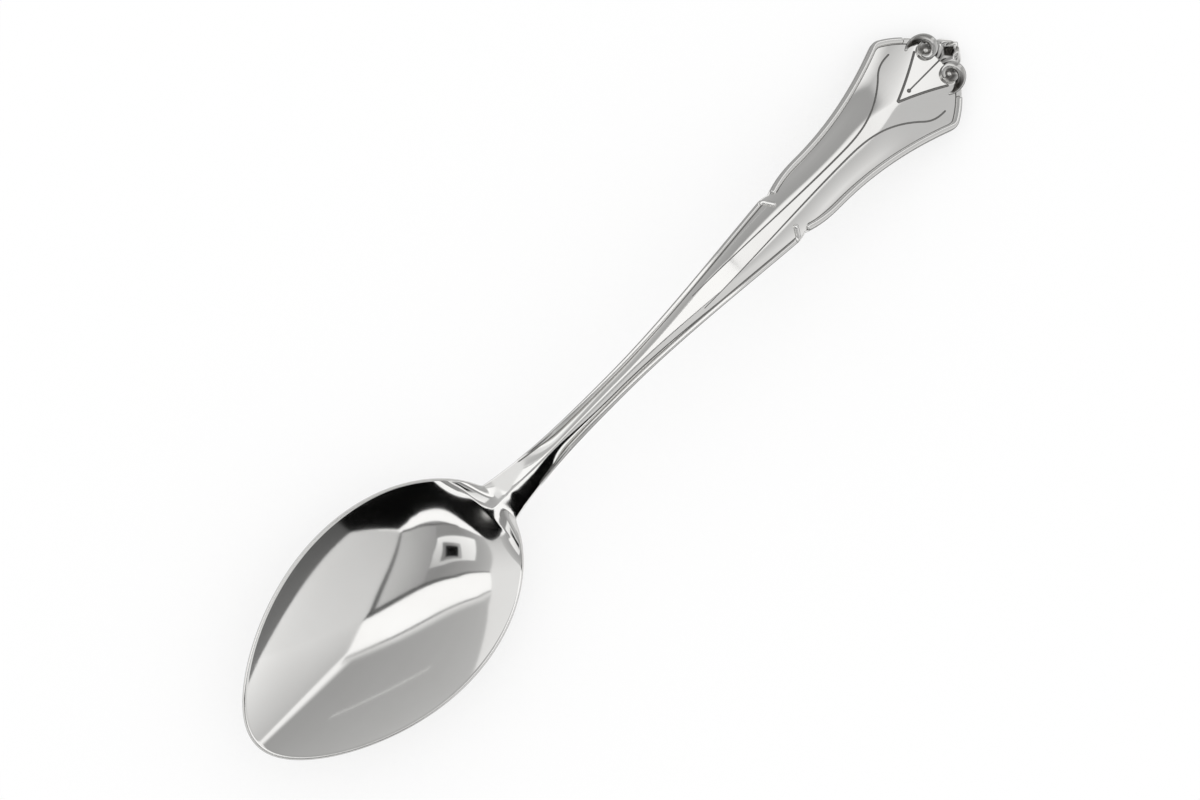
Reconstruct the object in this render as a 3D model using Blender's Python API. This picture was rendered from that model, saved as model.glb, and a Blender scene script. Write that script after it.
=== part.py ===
"""Dessert spoon lying on its back, made as a silversmith makes one by hand: a raised bowl, a forged handle
whose tongue laps under the bowl, edge threads of drawn wire, two curled scrolls and a cast crest bud.
Metres, +Z up, the table at Z = 0, the bowl towards -X, symmetric about Y = 0."""

import math

import bmesh
import bpy

MM = 0.001

# Lengths along the spoon, from the tip of the bowl to the crest
BOWL_LENGTH = 60.0 * MM
NECK_LENGTH = 27.0 * MM
LOWER_PANEL_LENGTH = 44.3 * MM
UPPER_PANEL_LENGTH = 45.7 * MM
BUD_OVERHANG = 3.0 * MM

# Widths of the outline
BOWL_WIDTH = 36.7 * MM
NECK_WIDTH = 8.2 * MM
STEM_WIDTH = 4.5 * MM
LOWER_PANEL_WIDTH = 10.4 * MM
NOTCH_WIDTH = 9.4 * MM
UPPER_PANEL_WIDTH = 11.9 * MM
FLARE_WIDTH = 21.5 * MM
END_WIDTH = 23.0 * MM

# Shape of the outline
EGG_LEAN = 0.134
EGG_FULLNESS = 0.089
SHOULDER_FILLET = 1.3 * MM
NECK_POWER = 3.0
LOWER_PANEL_SLOPE = 0.073
NOTCH_ROUND = 2.5 * MM
NOTCH_POWER = 2.5
PANEL_SHOULDER = 8.7 * MM
SHOULDER_POWER = 2.5
FLARE_SETBACK = 10.0 * MM
END_ROUND = 12.0 * MM
END_POWER = 1.55
CORNER_FILLET = 0.9 * MM

# Heights and thicknesses
BOWL_DEPTH = 8.4 * MM
BOWL_WALL = 1.4 * MM
RIM_THICKNESS = 1.1 * MM
DEEPEST_AT = 35.0 * MM
HEEL_SETBACK = 3.5 * MM
HEEL_POWER = 3.4
RIM_FALL = 0.06
RIM_EASE = 14.0 * MM
NECK_HEIGHT = 9.8 * MM
ARCH_HEIGHT = 16.2 * MM
ARCH_FROM_BOWL = 52.0 * MM
ARCH_POWER = 3.8
END_SLOPE = -0.10
NECK_CROWN = 1.3 * MM
STEM_CROWN = 0.9 * MM
PANEL_CROWN = 1.4 * MM
END_CROWN = 1.2 * MM
STEM_THICKNESS = 2.4 * MM
PANEL_THICKNESS = 1.9 * MM
END_THICKNESS = 1.6 * MM
BACK_ROUND = 0.4 * MM
REST_FLAT = 0.25 * MM

# Lap joint of bowl and handle
SOLDER_GAP = 0.2 * MM
LAP_PAST_BOWL = 2.0 * MM
TONGUE_LENGTH = 12.5 * MM
TONGUE_TIP = 0.6 * MM

# Edge threads and their seat
LOWER_THREAD = 0.9 * MM
UPPER_THREAD = 1.2 * MM
THREAD_POINT = 0.4 * MM
THREAD_TAPER = 8.0 * MM
THREAD_FROM_JOINT = 4.0 * MM
SEAT_DEPTH = 0.7 * MM
HOOK_RADIUS = 0.9 * MM
HOOK_TURN = math.radians(80.0)

# Crest
SCROLL_SETBACK = 2.7 * MM
SCROLL_OFFSET = 3.1 * MM
SCROLL_RADIUS = 4.1 * MM
SCROLL_EYE = 0.6 * MM
SCROLL_WIRE = 1.1 * MM
SCROLL_TAIL = 0.6 * MM
SCROLL_TAIL_SHARE = 0.3
SCROLL_START = math.radians(144.0)
SCROLL_SWEEP = math.radians(400.0)
CROWN_RUNOUT = 2.0 * MM
CROWN_END_ROUND = 4.0 * MM
BUD_LENGTH = 5.6 * MM
BUD_HEAD = 3.2 * MM
BUD_FOOT_ROUND = 1.1 * MM
BUD_WIDTH = 6.0 * MM
BUD_HEIGHT = 2.2 * MM
BUD_TIP_HEIGHT = 0.8 * MM
BUD_EDGE = 0.4 * MM

# Places along the spoon that follow from the lengths
STEM_AT = BOWL_LENGTH + NECK_LENGTH
NOTCH_AT = STEM_AT + LOWER_PANEL_LENGTH
PLATE_END = NOTCH_AT + UPPER_PANEL_LENGTH
OVERALL_LENGTH = PLATE_END + BUD_OVERHANG
JOINT_AT = BOWL_LENGTH + LAP_PAST_BOWL
SEAT_START = JOINT_AT + THREAD_FROM_JOINT
THREAD_START = SEAT_START + THREAD_POINT / 2 + SOLDER_GAP
HEEL_AT = BOWL_LENGTH - HEEL_SETBACK
RIM_FALL_END = BOWL_LENGTH - RIM_EASE
WAIST_AT = NOTCH_AT + PANEL_SHOULDER
FLARE_AT = PLATE_END - FLARE_SETBACK
ARCH_AT = BOWL_LENGTH + ARCH_FROM_BOWL
NECK_SLOPE = ARCH_POWER * (ARCH_HEIGHT - NECK_HEIGHT) / (ARCH_AT - JOINT_AT)
SCROLL_AT = PLATE_END - SCROLL_SETBACK
BUD_START = OVERALL_LENGTH - BUD_LENGTH
CROWN_END = BUD_START - SOLDER_GAP

SILVER = (0.86, 0.85, 0.83)


def hermite(at, start, end, value, end_value, slope, end_slope):
    """Cubic from one place to another with the given values and slopes."""
    span = end - start
    t = (at - start) / span
    return (
        (2 * t**3 - 3 * t**2 + 1) * value
        + (t**3 - 2 * t**2 + t) * span * slope
        + (3 * t**2 - 2 * t**3) * end_value
        + (t**3 - t**2) * span * end_slope
    )


def blend(at, start, end, value, end_value):
    """Eases from one value to another and holds them outside the stretch."""
    t = min(max((at - start) / (end - start), 0.0), 1.0)
    return value + (end_value - value) * t * t * (3 - 2 * t)


def soft_max(a, b, fillet):
    """The larger of two curves with a rounded crossing."""
    overlap = max(fillet - abs(a - b), 0.0)
    return max(a, b) + overlap * overlap / (4 * fillet)


def soft_min(a, b, fillet):
    return -soft_max(-a, -b, fillet)


def egg_share(lean):
    """Width of the egg against an even oval, with lean from 1 at the tip to -1 at the heel."""
    return math.sqrt(1 - lean * lean) * (1 - EGG_LEAN * lean - EGG_FULLNESS * lean * lean)


EGG_WIDEST = max(egg_share(step / 500) for step in range(-500, 501))


def egg(at):
    """Half width of the bowl's own outline."""
    lean = min(max(1 - 2 * at / BOWL_LENGTH, -1.0), 1.0)
    return BOWL_WIDTH / 2 * egg_share(lean) / EGG_WIDEST


def neck(at):
    """Half width of the stem where it spreads into the bowl."""
    left = max((STEM_AT - at) / NECK_LENGTH, 0.0)
    return STEM_WIDTH / 2 + (NECK_WIDTH - STEM_WIDTH) / 2 * left**NECK_POWER


def lower_panel(at):
    """Half width from the narrowest stem to the notch, rounded off at the notch."""
    stem = STEM_WIDTH / 2
    panel = LOWER_PANEL_WIDTH / 2
    near = max((at - NOTCH_AT + NOTCH_ROUND) / NOTCH_ROUND, 0.0)
    rounded = (LOWER_PANEL_WIDTH - NOTCH_WIDTH) / 2 * near**NOTCH_POWER
    return hermite(at, STEM_AT, NOTCH_AT, stem, panel, 0.0, LOWER_PANEL_SLOPE) - rounded


def upper_panel(at):
    """Half width from the notch: a round shoulder, a waist, a flare and the rounded end."""
    to_waist = max((WAIST_AT - at) / PANEL_SHOULDER, 0.0)
    rounded = (UPPER_PANEL_WIDTH - NOTCH_WIDTH) / 2 * to_waist**SHOULDER_POWER
    side = UPPER_PANEL_WIDTH / 2 - rounded + flare(at)
    along = min(max((at - PLATE_END + END_ROUND) / END_ROUND, 0.0), 1.0)
    end = END_WIDTH / 2 * (1 - along**END_POWER) ** (1 / END_POWER)
    return max(soft_min(side, end, CORNER_FILLET), 0.0) if along < 1 else 0.0


def flare(at):
    """How far the side has spread past the waist of the upper panel."""
    from_waist = max((at - WAIST_AT) / (FLARE_AT - WAIST_AT), 0.0)
    return (FLARE_WIDTH - UPPER_PANEL_WIDTH) / 2 * from_waist**2


def crown_reach(at):
    """Half width over which the crown falls to the edge line, inside the threads, smooth past the notch."""
    drawn_in = blend(at, SEAT_START, SEAT_START + THREAD_TAPER, 0.0, LOWER_THREAD)
    if at <= STEM_AT:
        return neck(at) - drawn_in
    if at <= WAIST_AT:
        return hermite(at, STEM_AT, WAIST_AT, STEM_WIDTH / 2, UPPER_PANEL_WIDTH / 2, 0.0, 0.0) - drawn_in
    return UPPER_PANEL_WIDTH / 2 + flare(at) - drawn_in


def half_width(at):
    """Half width of the whole outline at a distance from the tip of the bowl."""
    if at <= STEM_AT:
        return soft_max(egg(at), neck(at), SHOULDER_FILLET) if at > HEEL_AT else egg(at)
    return lower_panel(at) if at <= NOTCH_AT else upper_panel(at)


def inset(at, distance):
    """Half width of the outline drawn in by a distance, below zero where nothing is left."""
    least = half_width(at) - distance
    for step in range(-16, 17):
        shift = distance * math.sin(step / 16 * math.pi / 2)
        place = at + shift
        here = half_width(place) if place < PLATE_END else 0.0
        least = min(least, here - math.sqrt(max(distance**2 - shift**2, 0.0)))
    return least


def bowl_depth(at):
    """How far the middle lies below the rim: deep in the bowl, below zero on the crowned neck."""
    if at < DEEPEST_AT:
        return BOWL_DEPTH * (1 - ((DEEPEST_AT - at) / DEEPEST_AT) ** 2)
    rise = ((at - DEEPEST_AT) / (HEEL_AT - DEEPEST_AT)) ** HEEL_POWER
    return soft_max(BOWL_DEPTH * (1 - rise), -NECK_CROWN, NECK_CROWN * 2)


def edge_height(at):
    """Height of the upper edge line: the rim of the bowl, then the arched edge of the handle."""
    rim = BOWL_DEPTH + BOWL_WALL - REST_FLAT
    rim_end = rim - RIM_FALL * (RIM_FALL_END - DEEPEST_AT)
    if at <= RIM_FALL_END:
        return rim - RIM_FALL * (at - DEEPEST_AT)
    if at <= JOINT_AT:
        return hermite(at, RIM_FALL_END, JOINT_AT, rim_end, NECK_HEIGHT, -RIM_FALL, NECK_SLOPE)
    if at <= ARCH_AT:
        left = (ARCH_AT - at) / (ARCH_AT - JOINT_AT)
        return ARCH_HEIGHT - (ARCH_HEIGHT - NECK_HEIGHT) * left**ARCH_POWER
    return hermite(at, ARCH_AT, PLATE_END, ARCH_HEIGHT, END_THICKNESS - REST_FLAT, 0.0, END_SLOPE)


def crown(at):
    """Rise of the handle's middle above its edge line."""
    if at <= STEM_AT:
        return blend(at, JOINT_AT, STEM_AT, NECK_CROWN, STEM_CROWN)
    if at <= NOTCH_AT:
        return blend(at, STEM_AT, NOTCH_AT, STEM_CROWN, PANEL_CROWN)
    return blend(at, NOTCH_AT, PLATE_END, PANEL_CROWN, END_CROWN)


def thickness(at):
    """Thickness of the handle below its edge line."""
    if at <= NOTCH_AT:
        return blend(at, STEM_AT, NOTCH_AT, STEM_THICKNESS, PANEL_THICKNESS)
    return blend(at, NOTCH_AT, PLATE_END, PANEL_THICKNESS, END_THICKNESS)


def bowl_back(at, across):
    """Height of the bowl's outer face before the rest flat, across from -1 at one edge to 1 at the other."""
    hollow = bowl_depth(at) + BOWL_WALL - RIM_THICKNESS
    return edge_height(at) - RIM_THICKNESS - hollow * (1 - across**2)


def handle_back(at, across):
    return edge_height(at) - thickness(at) + BACK_ROUND * across**4


def seat_height(at):
    return edge_height(at) - SEAT_DEPTH


def spread(start, end, count):
    """Evenly placed values from start to end, both included."""
    return [start + (end - start) * i / count for i in range(count + 1)]


def wrapped_skin(name, rings):
    """A closed skin through rings of equal length: a grid is wrapped round them and its ends are filled."""
    mesh = bmesh.new()
    rows = len(rings)
    columns = len(rings[0])
    bmesh.ops.create_grid(mesh, x_segments=rows - 1, y_segments=columns, size=0.5)
    for vert in mesh.verts:
        row = round((vert.co.x + 0.5) * (rows - 1))
        column = round((vert.co.y + 0.5) * columns) % columns
        at, side, height = rings[row][column]
        vert.co = (at - OVERALL_LENGTH / 2, side, height)
    bmesh.ops.remove_doubles(mesh, verts=mesh.verts, dist=0.002 * MM)
    bmesh.ops.holes_fill(mesh, edges=mesh.edges)
    bmesh.ops.triangulate(mesh, faces=mesh.faces)
    bmesh.ops.dissolve_degenerate(mesh, edges=mesh.edges, dist=0.002 * MM)
    bmesh.ops.recalc_face_normals(mesh, faces=mesh.faces)
    return finished(name, mesh)


def finished(name, mesh):
    """Puts a bmesh into the scene as a smooth-shaded silver object."""
    data = bpy.data.meshes.new(name)
    mesh.to_mesh(data)
    mesh.free()
    data.shade_smooth()
    data.set_sharp_from_angle(angle=math.radians(40))
    made = bpy.data.objects.new(name, data)
    bpy.context.collection.objects.link(made)
    data.materials.append(silver(name))
    return made


def silver(name):
    material = bpy.data.materials.new(name)
    material.use_nodes = True
    shader = material.node_tree.nodes["Principled BSDF"]
    shader.inputs["Base Color"].default_value = (*SILVER, 1.0)
    shader.inputs["Metallic"].default_value = 1.0
    shader.inputs["Roughness"].default_value = 0.06
    return material


def bowl():
    """Shell from the tip to the lap joint, with a small flat under it where it rests."""
    columns = spread(-1.0, 1.0, 16)
    stations = [DEEPEST_AT * (1 - math.cos(turn)) for turn in spread(0.0, math.pi / 2, 20)]
    stations += spread(DEEPEST_AT, HEEL_AT, 18)[1:]
    stations += spread(HEEL_AT, JOINT_AT - SOLDER_GAP, 16)[1:]
    rings = []
    for at in stations:
        half = half_width(at)
        front = [(at, half * q, edge_height(at) - bowl_depth(at) * (1 - q * q)) for q in columns]
        back = [(at, half * q, max(bowl_back(at, q), 0.0)) for q in reversed(columns)]
        rings.append(front + back)
    return wrapped_skin("bowl", rings)


def seated(at, side, radius):
    """A point of a wire's centre line, lying on the seat at the solder gap."""
    return (at, side, seat_height(at) + SOLDER_GAP + radius, radius)


def lower_thread_path(steps):
    """Centre line and radius of a lower thread on the +Y side, hooked inwards at the notch."""
    radius = LOWER_THREAD / 2
    point = THREAD_POINT / 2
    hook_at = NOTCH_AT - radius - SOLDER_GAP - HOOK_RADIUS * math.sin(HOOK_TURN)
    path = []
    for at in spread(THREAD_START, hook_at, steps):
        here = point + (radius - point) * min((at - THREAD_START) / THREAD_TAPER, 1.0)
        path.append(seated(at, inset(at, here), here))
    side = path[-1][1]
    for turn in spread(0.0, HOOK_TURN, max(steps // 8, 6))[1:]:
        at = hook_at + HOOK_RADIUS * math.sin(turn)
        path.append(seated(at, side - HOOK_RADIUS * (1 - math.cos(turn)), radius))
    return path


def scroll_path(steps):
    """Centre line and radius of a scroll on the +Y side, from its thin tail to its eye."""
    path = []
    for t in spread(0.0, 1.0, steps):
        reach = SCROLL_RADIUS * (SCROLL_EYE / SCROLL_RADIUS) ** t
        turn = SCROLL_START - SCROLL_SWEEP * t
        at = SCROLL_AT + reach * math.cos(turn)
        side = SCROLL_OFFSET + reach * math.sin(turn)
        path.append(seated(at, side, blend(t, 0.0, SCROLL_TAIL_SHARE, SCROLL_TAIL / 2, SCROLL_WIRE / 2)))
    return path


def upper_thread_path(steps, scroll):
    """Centre line and radius of an upper thread on the +Y side, from the notch round to the scroll."""
    radius = UPPER_THREAD / 2
    start = NOTCH_AT + radius + SOLDER_GAP
    path = []
    for t in spread(0.0, math.pi / 2, steps):
        at = start + (PLATE_END - start) * math.sin(t)
        side = inset(at, radius)
        near = min(math.dist((at, side), point[:2]) - point[3] for point in scroll)
        if near < radius + SOLDER_GAP:
            break
        path.append(seated(at, side, radius))
    return path


def clear_half_width(at, widest, wires, onwards):
    """Half width that keeps the solder gap to wires, and stays drawn in past them where onwards is set."""
    least = widest
    for place, side, _, radius in wires:
        reach = radius + SOLDER_GAP
        shift = place - at
        if onwards:
            shift = max(shift, 0.0)
        if abs(shift) < reach:
            least = min(least, side - math.sqrt(reach**2 - shift**2))
    return max(least, 0.0)


def tongue_ring(at, columns):
    """Section of the tongue, which follows the bowl's outer face at the solder gap."""
    back = max((JOINT_AT - at) / TONGUE_LENGTH, 0.0)
    wide = half_width(JOINT_AT) * math.sqrt(max(1 - back * back, 0.0))
    share = (1 - back) ** 2 * (1 + 2 * back)
    front, under = [], []
    for q in columns:
        across = wide * q / half_width(at)
        top = bowl_back(at, across) - SOLDER_GAP
        deep = bowl_back(JOINT_AT, q) - SOLDER_GAP - handle_back(JOINT_AT, q)
        front.append((at, wide * q, top))
        under.append((at, wide * q, top - TONGUE_TIP - (deep - TONGUE_TIP) * share))
    return front + under[::-1]


def handle_ring(at, columns, middle, base):
    """Section of the handle: a crowned middle, thread seats beside it and a rounded back."""
    half = half_width(at)
    ease = blend(at, CROWN_END - CROWN_RUNOUT, CROWN_END, 1.0, 0.0)
    front = [(at, -half, base), (at, -middle, base)]
    for q in columns[2:-2]:
        fall = crown(at) * min(abs(middle * q) / crown_reach(at), 1.0) ** 2
        front.append((at, middle * q, base + (edge_height(at) + crown(at) - fall - base) * ease))
    front += [(at, middle, base), (at, half, base)]
    back = [(at, half * q, max(handle_back(at, q), 0.0)) for q in reversed(columns)]
    return front + back


def handle(threads, scroll):
    """Tongue, neck, stem and blade in one forging, stepped at the lap joint and along the thread seats."""
    columns = [-1.0, -1.0] + spread(-1.0, 1.0, 10) + [1.0, 1.0]
    rings = []
    for turn in spread(0.0, math.pi / 2, 12):
        rings.append(tongue_ring(JOINT_AT - TONGUE_LENGTH * math.cos(turn), columns))
    for at in spread(JOINT_AT, SEAT_START, 3):
        rings.append(handle_ring(at, columns, half_width(at), edge_height(at)))
    stations = spread(SEAT_START, STEM_AT, 14)
    stations += spread(STEM_AT, NOTCH_AT - NOTCH_ROUND, 14)[1:]
    stations += spread(NOTCH_AT - NOTCH_ROUND, NOTCH_AT, 10)[1:]
    stations += spread(NOTCH_AT, NOTCH_AT + NOTCH_ROUND, 8)[1:]
    stations += spread(NOTCH_AT + NOTCH_ROUND, PLATE_END - END_ROUND, 26)[1:]
    stations += spread(PLATE_END - END_ROUND, PLATE_END, 40)[1:]
    for at in stations:
        middle = clear_half_width(max(at, THREAD_START), half_width(at), threads, False)
        middle = clear_half_width(at, middle, scroll, True)
        middle = min(middle, math.sqrt(2 * CROWN_END_ROUND * max(CROWN_END - at, 0.0)))
        rings.append(handle_ring(at, columns, middle, seat_height(at)))
    return wrapped_skin("handle", rings)


def wire(name, path, mirror):
    """A closed round wire along a path of places, sides, heights and radii."""
    curve = bpy.data.curves.new(name, "CURVE")
    curve.dimensions = "3D"
    curve.bevel_depth = 1.0
    curve.bevel_resolution = 2
    curve.use_fill_caps = True
    line = curve.splines.new("POLY")
    line.points.add(len(path) - 1)
    for point, (at, side, height, radius) in zip(line.points, path):
        point.co = (at - OVERALL_LENGTH / 2, side * mirror, height, 1.0)
        point.radius = radius
    made = bpy.data.objects.new(name, curve)
    bpy.context.collection.objects.link(made)
    curve.materials.append(silver(name))
    return made


def crest_bud(scroll):
    """A pointed bud with a flat foot: slim between the scrolls, spread beyond them."""
    columns = spread(-1.0, 1.0, 12)
    rings = []
    for turn in spread(0.0, math.pi, 24):
        at = BUD_START + BUD_LENGTH * (1 - math.cos(turn)) / 2
        to_tip = min((OVERALL_LENGTH - at) / BUD_HEAD, 1.0)
        half = clear_half_width(at, BUD_WIDTH / 2 * math.sin(to_tip * math.pi / 2), scroll, False)
        half = half * math.sqrt(min((at - BUD_START) / BUD_FOOT_ROUND, 1.0))
        foot = seat_height(at) + SOLDER_GAP
        rise = BUD_TIP_HEIGHT + (BUD_HEIGHT - BUD_TIP_HEIGHT) * math.sin(turn)
        front = [(at, half * q, foot + rise + (BUD_EDGE - rise) * q * q) for q in columns]
        under = [(at, half * q, foot) for q in reversed(columns)]
        rings.append(front + under)
    return wrapped_skin("crest_bud", rings)


def main():
    for old in list(bpy.data.objects):
        bpy.data.objects.remove(old)
    scroll = scroll_path(240)
    threads = lower_thread_path(400) + upper_thread_path(600, scroll)
    bowl()
    handle(threads, scroll)
    for name, mirror in (("left", 1), ("right", -1)):
        wire(name + "_lower_thread", lower_thread_path(48), mirror)
        wire(name + "_upper_thread", upper_thread_path(64, scroll), mirror)
        wire(name + "_scroll", scroll_path(44), mirror)
    crest_bud(scroll)


main()
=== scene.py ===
"""Polished silver dessert spoon on a white table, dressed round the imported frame."""

import math

import bmesh
import bpy
from mathutils import Matrix, Vector


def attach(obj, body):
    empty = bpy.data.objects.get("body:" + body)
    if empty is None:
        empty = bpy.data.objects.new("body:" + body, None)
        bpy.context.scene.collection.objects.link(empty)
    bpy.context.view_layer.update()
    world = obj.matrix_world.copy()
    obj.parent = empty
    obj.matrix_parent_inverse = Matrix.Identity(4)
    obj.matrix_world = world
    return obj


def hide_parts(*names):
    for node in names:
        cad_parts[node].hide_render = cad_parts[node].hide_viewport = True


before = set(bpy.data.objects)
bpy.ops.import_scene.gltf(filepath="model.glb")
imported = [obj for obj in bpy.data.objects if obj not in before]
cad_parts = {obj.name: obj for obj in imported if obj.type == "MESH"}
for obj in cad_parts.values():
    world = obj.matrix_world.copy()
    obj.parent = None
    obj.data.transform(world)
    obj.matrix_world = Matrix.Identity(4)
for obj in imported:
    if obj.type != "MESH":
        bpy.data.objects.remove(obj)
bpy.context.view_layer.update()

MM = 0.001

# Outline of the spoon, with the same sizes as the solids
BOWL_LENGTH = 60.0 * MM
NECK_LENGTH = 27.0 * MM
LOWER_PANEL_LENGTH = 44.3 * MM
UPPER_PANEL_LENGTH = 45.7 * MM
BUD_OVERHANG = 3.0 * MM
BOWL_WIDTH = 36.66 * MM
NECK_WIDTH = 8.2 * MM
STEM_WIDTH = 4.5 * MM
LOWER_PANEL_WIDTH = 10.4 * MM
NOTCH_WIDTH = 9.4 * MM
UPPER_PANEL_WIDTH = 11.9 * MM
FLARE_WIDTH = 21.5 * MM
END_WIDTH = 23.0 * MM
EGG_LEAN = 0.134
EGG_FULLNESS = 0.089
SHOULDER_FILLET = 1.3 * MM
NECK_POWER = 3.0
LOWER_PANEL_SLOPE = 0.073
NOTCH_ROUND = 2.5 * MM
NOTCH_POWER = 2.5
PANEL_SHOULDER = 8.7 * MM
SHOULDER_POWER = 2.5
FLARE_SETBACK = 10.0 * MM
END_ROUND = 12.0 * MM
END_POWER = 1.55
CORNER_FILLET = 0.9 * MM

# Heights and thicknesses
BOWL_DEPTH = 8.4 * MM
BOWL_WALL = 1.4 * MM
RIM_THICKNESS = 1.1 * MM
DEEPEST_AT = 35.0 * MM
HEEL_SETBACK = 3.5 * MM
HEEL_POWER = 4.5
HEEL_BREAK = 0.89
RIM_FALL = 0.06
RIM_EASE = 14.0 * MM
NECK_HEIGHT = 9.8 * MM
ARCH_HEIGHT = 16.18 * MM
ARCH_FROM_BOWL = 52.0 * MM
ARCH_POWER = 3.8
END_SLOPE = -0.10
NECK_CROWN = 1.9 * MM
STEM_CROWN = 0.9 * MM
PANEL_CROWN = 1.0 * MM
END_CROWN = 0.9 * MM
STEM_THICKNESS = 2.4 * MM
PANEL_THICKNESS = 1.9 * MM
END_THICKNESS = 1.6 * MM
BACK_ROUND = 0.4 * MM
REST_FLAT = 0.25 * MM

# Tongue that laps under the bowl
LAP_PAST_BOWL = 2.0 * MM
TONGUE_LENGTH = 12.5 * MM
TONGUE_TIP = 0.6 * MM
TONGUE_EASE = 0.5
TONGUE_BLEND = 5.0 * MM

# Edge threads: flat-topped bands in a seat, the lower ones hooked at the notch, with a fine line inside
LOWER_THREAD = 0.9 * MM
UPPER_THREAD = 1.2 * MM
THREAD_POINT = 0.4 * MM
THREAD_TAPER = 8.0 * MM
THREAD_FROM_JOINT = 4.0 * MM
THREAD_LINE = 0.24 * MM
THREAD_SQUARE = 0.55
LEAST_END = 0.05
SEAT_DEPTH = 0.7 * MM
SOLDER_GAP = 0.2 * MM
HOOK_RADIUS = 1.2 * MM
HOOK_TURN = math.radians(60.0)
HOOK_RUN = 1.9 * MM

# Scrolls: a tail that thickens to a leaf and thins again into its curl, round a hollowed web with a dome
SCROLL_SETBACK = 3.2 * MM
SCROLL_OFFSET = 3.0 * MM
SCROLL_RADIUS = 4.0 * MM
SCROLL_EYE = 1.0 * MM
SCROLL_WIRE = 1.5 * MM
SCROLL_TAIL = 0.5 * MM
SCROLL_CURL = 0.6 * MM
SCROLL_LEAF_SHARE = 0.12
SCROLL_TAIL_SHARE = 0.3
SCROLL_CURL_SHARE = 0.8
SCROLL_TAIL_RISE = 0.7
SCROLL_START = math.radians(140.0)
SCROLL_SWEEP = math.radians(400.0)
EYE_WIDTH = 1.2 * MM
EYE_HEIGHT = 0.65 * MM
DISH_WIDTH = 3.4 * MM
DISH_DEPTH = 0.8 * MM
DISH_WALL = 0.4 * MM

# Rib down the middle of the handle with a line at each side, and how the panels fall away beside it
RIB_START = 108.0 * MM
RIB_WAIST_AT = 146.0 * MM
RIB_FLARE_AT = 163.5 * MM
RIB_END = 168.3 * MM
RIB_START_HALF = 1.5 * MM
RIB_WAIST_HALF = 0.7 * MM
RIB_FLARE_HALF = 5.75 * MM
RIB_END_HALF = 7.2 * MM
RIB_FLARE_SLOPE = 0.85
RIB_FLAT_SHARE = 1.2
RIB_LINE = 0.36 * MM
RIB_LINE_START = 0.16 * MM
PANEL_POWER_AT = 130.0 * MM
PANEL_POWER = 2.6
PANEL_SHARE = 0.86
PANEL_EASE = 0.2

# Crest field with its fan and vein
FIELD_START = 149.5 * MM
FIELD_END = 162.0 * MM
FIELD_FLAT = 0.4 * MM
FIELD_POWER = 1.15
FIELD_SHARE = 0.3
FAN_START = 162.5 * MM
FAN_END = 172.2 * MM
FAN_SPREAD = 0.36
FAN_CURVE = 9.5
FAN_LINE = 0.5 * MM
VEIN_START = 165.4 * MM
VEIN_LINE = 0.3 * MM
VEIN_DROP = 0.8 * MM

# Bud between the scrolls, with turns from its foot to its tip and shares of its length
BUD_LENGTH = 5.6 * MM
BUD_TIP_SETBACK = 0.6 * MM
BUD_HEAD = 2.7 * MM
BUD_WIDTH = 6.0 * MM
BUD_FOOT_WIDTH = 3.0 * MM
BUD_HEIGHT = 2.1 * MM
BUD_FOOT_HEIGHT = 1.2 * MM
BUD_TIP_HEIGHT = 0.8 * MM
BUD_EDGE = 0.4 * MM
BUD_LOBES = 3
LOBE_DEPTH = 0.35
BUD_FOOT_TURN = 0.05
BUD_TIP_TURN = math.pi - 0.2
BUD_RISE_START = 0.38
BUD_RISE_END = 0.7
BUD_FALL_START = 0.78

# Rounding of the edges in the finished skin, and the soft ridge of the neck
RIM_ROUND = 0.4 * MM
EDGE_ROUND = 0.3 * MM
RIDGE_POWER = 1.15
RIDGE_END = 90.0 * MM
HEEL_FILLET = 2.2 * MM

# Painted shade, from 0 for bright to 1 for black: a painted dark reflection round the edge and down a
# thread's flank, painted shade in a scroll and on the bud
EDGE_SHADE = 0.85
FLANK_SHADE = 0.9
FLANK_START = 0.45
FLANK_END = 0.85
LEAF_BRIM_START = 0.1
LEAF_BRIM_END = 0.6
LEAF_DARK_START = 0.05
LEAF_DARK_END = 0.12
LEAF_FADE_END = 0.34
LEAF_FADED = 0.4
CURL_FADE_END = 0.8
CURL_FADE = 0.2
WEB_SHADE = 0.85
WEB_BRIM_SHADE = 0.1
BUD_FOOT_SHADE = 0.5
BUD_GROOVE_SHADE = 0.5
BUD_FACET_CRISPNESS = 4

# Fineness of the meshes: rows along, spokes and sides across, and the distances at which points are merged
SPOKES = 52
TURNS = 140
HOLLOW_ROWS = 80
HEEL_ROWS = 40
STEM_ROWS = 130
NOTCH_ROWS = 20
PANEL_ROWS = 70
END_ROWS = 70
END_TURN = 1.52
EDGE_STEPS = 8
INSET_STEPS = 16
THREAD_POINTS = 200
UPPER_THREAD_POINTS = 300
HOOK_POINTS = 16
SCROLL_POINTS = 120
RIB_POINTS = 300
FAN_POINTS = 60
VEIN_POINTS = 120
BAND_SIDES = 28
BEAD_RESOLUTION = 6
DISH_RINGS = 24
DISH_WALL_RINGS = 4
DISH_SIDES = 64
EYE_SIDES = 40
EYE_RINGS = 24
BUD_RINGS = 70
BUD_SPOKES = 60
LEAST_AT = 0.0001 * MM
LEAST_HALF = 0.02 * MM
SHEET_MERGE = 0.0005 * MM
SKIN_MERGE = 0.002 * MM

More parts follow.
